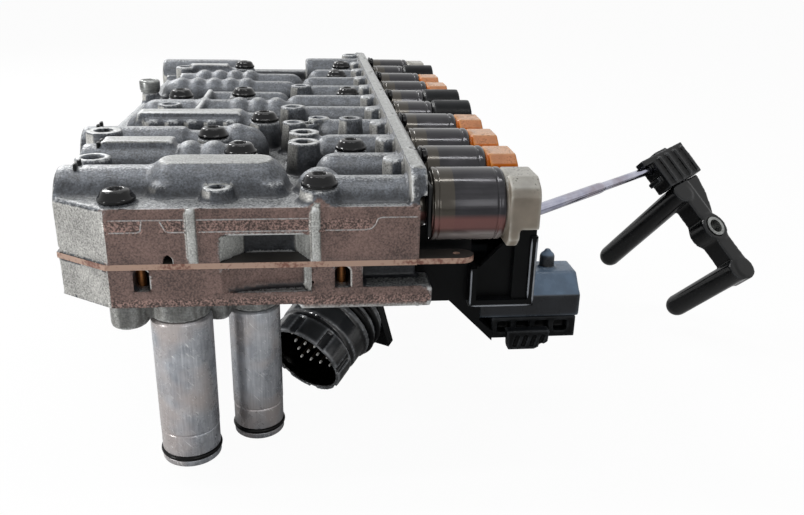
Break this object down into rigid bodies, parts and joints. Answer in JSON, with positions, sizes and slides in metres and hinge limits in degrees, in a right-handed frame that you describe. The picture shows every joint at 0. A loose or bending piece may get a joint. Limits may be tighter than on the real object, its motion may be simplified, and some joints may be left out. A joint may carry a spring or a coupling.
{
  "type": "transmission valve body",
  "caption": "Gearbox valve body of two die castings and a separator plate, with a row of solenoids on a conductor frame, spring-loaded spools, oil tubes, a round plug and a wired sensor.",
  "frame": {"origin": "centre of the four gearbox bolt holes, on the seat faces under the lower casting", "axes": "+X along the valve bores towards the solenoids, +Y along the row of solenoids away from the oil tubes, +Z from the gearbox face up to the ribbed casting"},
  "size_m": [0.2976, 0.3234, 0.1115],
  "materials": {
    "cast_aluminium": "as cast, grainy, tops machined",
    "plate_steel": "rolled sheet",
    "black_steel": "black oxide, glossy",
    "dowel_steel": "ground, oil stained",
    "zinc_steel": "zinc plated",
    "turned_aluminium": "turned",
    "coated_sheet": "black coating",
    "spring_steel": "drawn wire",
    "can_steel": "dark drawn steel",
    "beige_plastic": "moulded, worn",
    "black_plastic": "moulded",
    "orange_plastic": "moulded",
    "tube_aluminium": "satin, scratched",
    "seal_rubber": "moulded ring",
    "pin_brass": "tin plated",
    "bright_tube": "bright drawn"
  },
  "bodies": {
    "valve_body": {"upper_casting": "cast_aluminium", "separator_plate": "plate_steel", "lower_casting": "cast_aluminium", "flange_bolts": "black_steel", "locating_dowels": "dowel_steel", "ground_stud": "zinc_steel", "bore_plugs": "turned_aluminium", "plug_clips": "coated_sheet", "retainer_strip": "coated_sheet", "strip_screws": "black_steel", "spring_1": "spring_steel", "spring_2": "spring_steel", "spring_3": "spring_steel", "solenoid_1": "can_steel", "solenoid_2": "can_steel", "solenoid_3": "can_steel", "solenoid_4": "can_steel", "solenoid_5": "can_steel", "solenoid_6": "can_steel", "solenoid_7": "can_steel", "solenoid_8": "can_steel", "solenoid_9": "can_steel", "solenoid_10": "can_steel", "cap_1": "beige_plastic", "cap_2": "orange_plastic", "cap_3": "orange_plastic", "cap_4": "orange_plastic", "cap_5": "black_plastic", "cap_6": "black_plastic", "cap_7": "orange_plastic", "cap_8": "orange_plastic", "cap_9": "black_plastic", "cap_10": "beige_plastic", "oil_tube_a": "tube_aluminium", "oil_tube_b": "tube_aluminium", "tube_seal_a": "seal_rubber", "tube_seal_b": "seal_rubber", "conductor_frame": "black_plastic", "module_box": "black_plastic", "module_tray": "black_plastic", "tray_plug": "black_plastic", "plug_shell": "black_plastic", "plug_seals": "seal_rubber", "plug_pins": "pin_brass", "conduit_sleeve": "bright_tube", "conduit": "bright_tube", "sensor_block": "black_plastic", "sensor_body": "black_plastic", "sensor_bush": "zinc_steel"},
    "spool_1_body": {"spool_1": "turned_aluminium"},
    "spool_2_body": {"spool_2": "turned_aluminium"},
    "spool_3_body": {"spool_3": "turned_aluminium"}
  },
  "joints": [
    {"name": "spool_1_slide", "type": "slide", "parent": "valve_body", "child": "spool_1_body", "axis": [-1, 0, 0], "range_m": [0, 0.004], "stiffness_N_per_m": 300, "springref_m": -0.01, "deforming": ["spring_1"]},
    {"name": "spool_2_slide", "type": "slide", "parent": "valve_body", "child": "spool_2_body", "axis": [-1, 0, 0], "range_m": [0, 0.004], "stiffness_N_per_m": 300, "springref_m": -0.01, "deforming": ["spring_2"]},
    {"name": "spool_3_slide", "type": "slide", "parent": "valve_body", "child": "spool_3_body", "axis": [-1, 0, 0], "range_m": [0, 0.004], "stiffness_N_per_m": 300, "springref_m": -0.01, "deforming": ["spring_3"]}
  ]
}
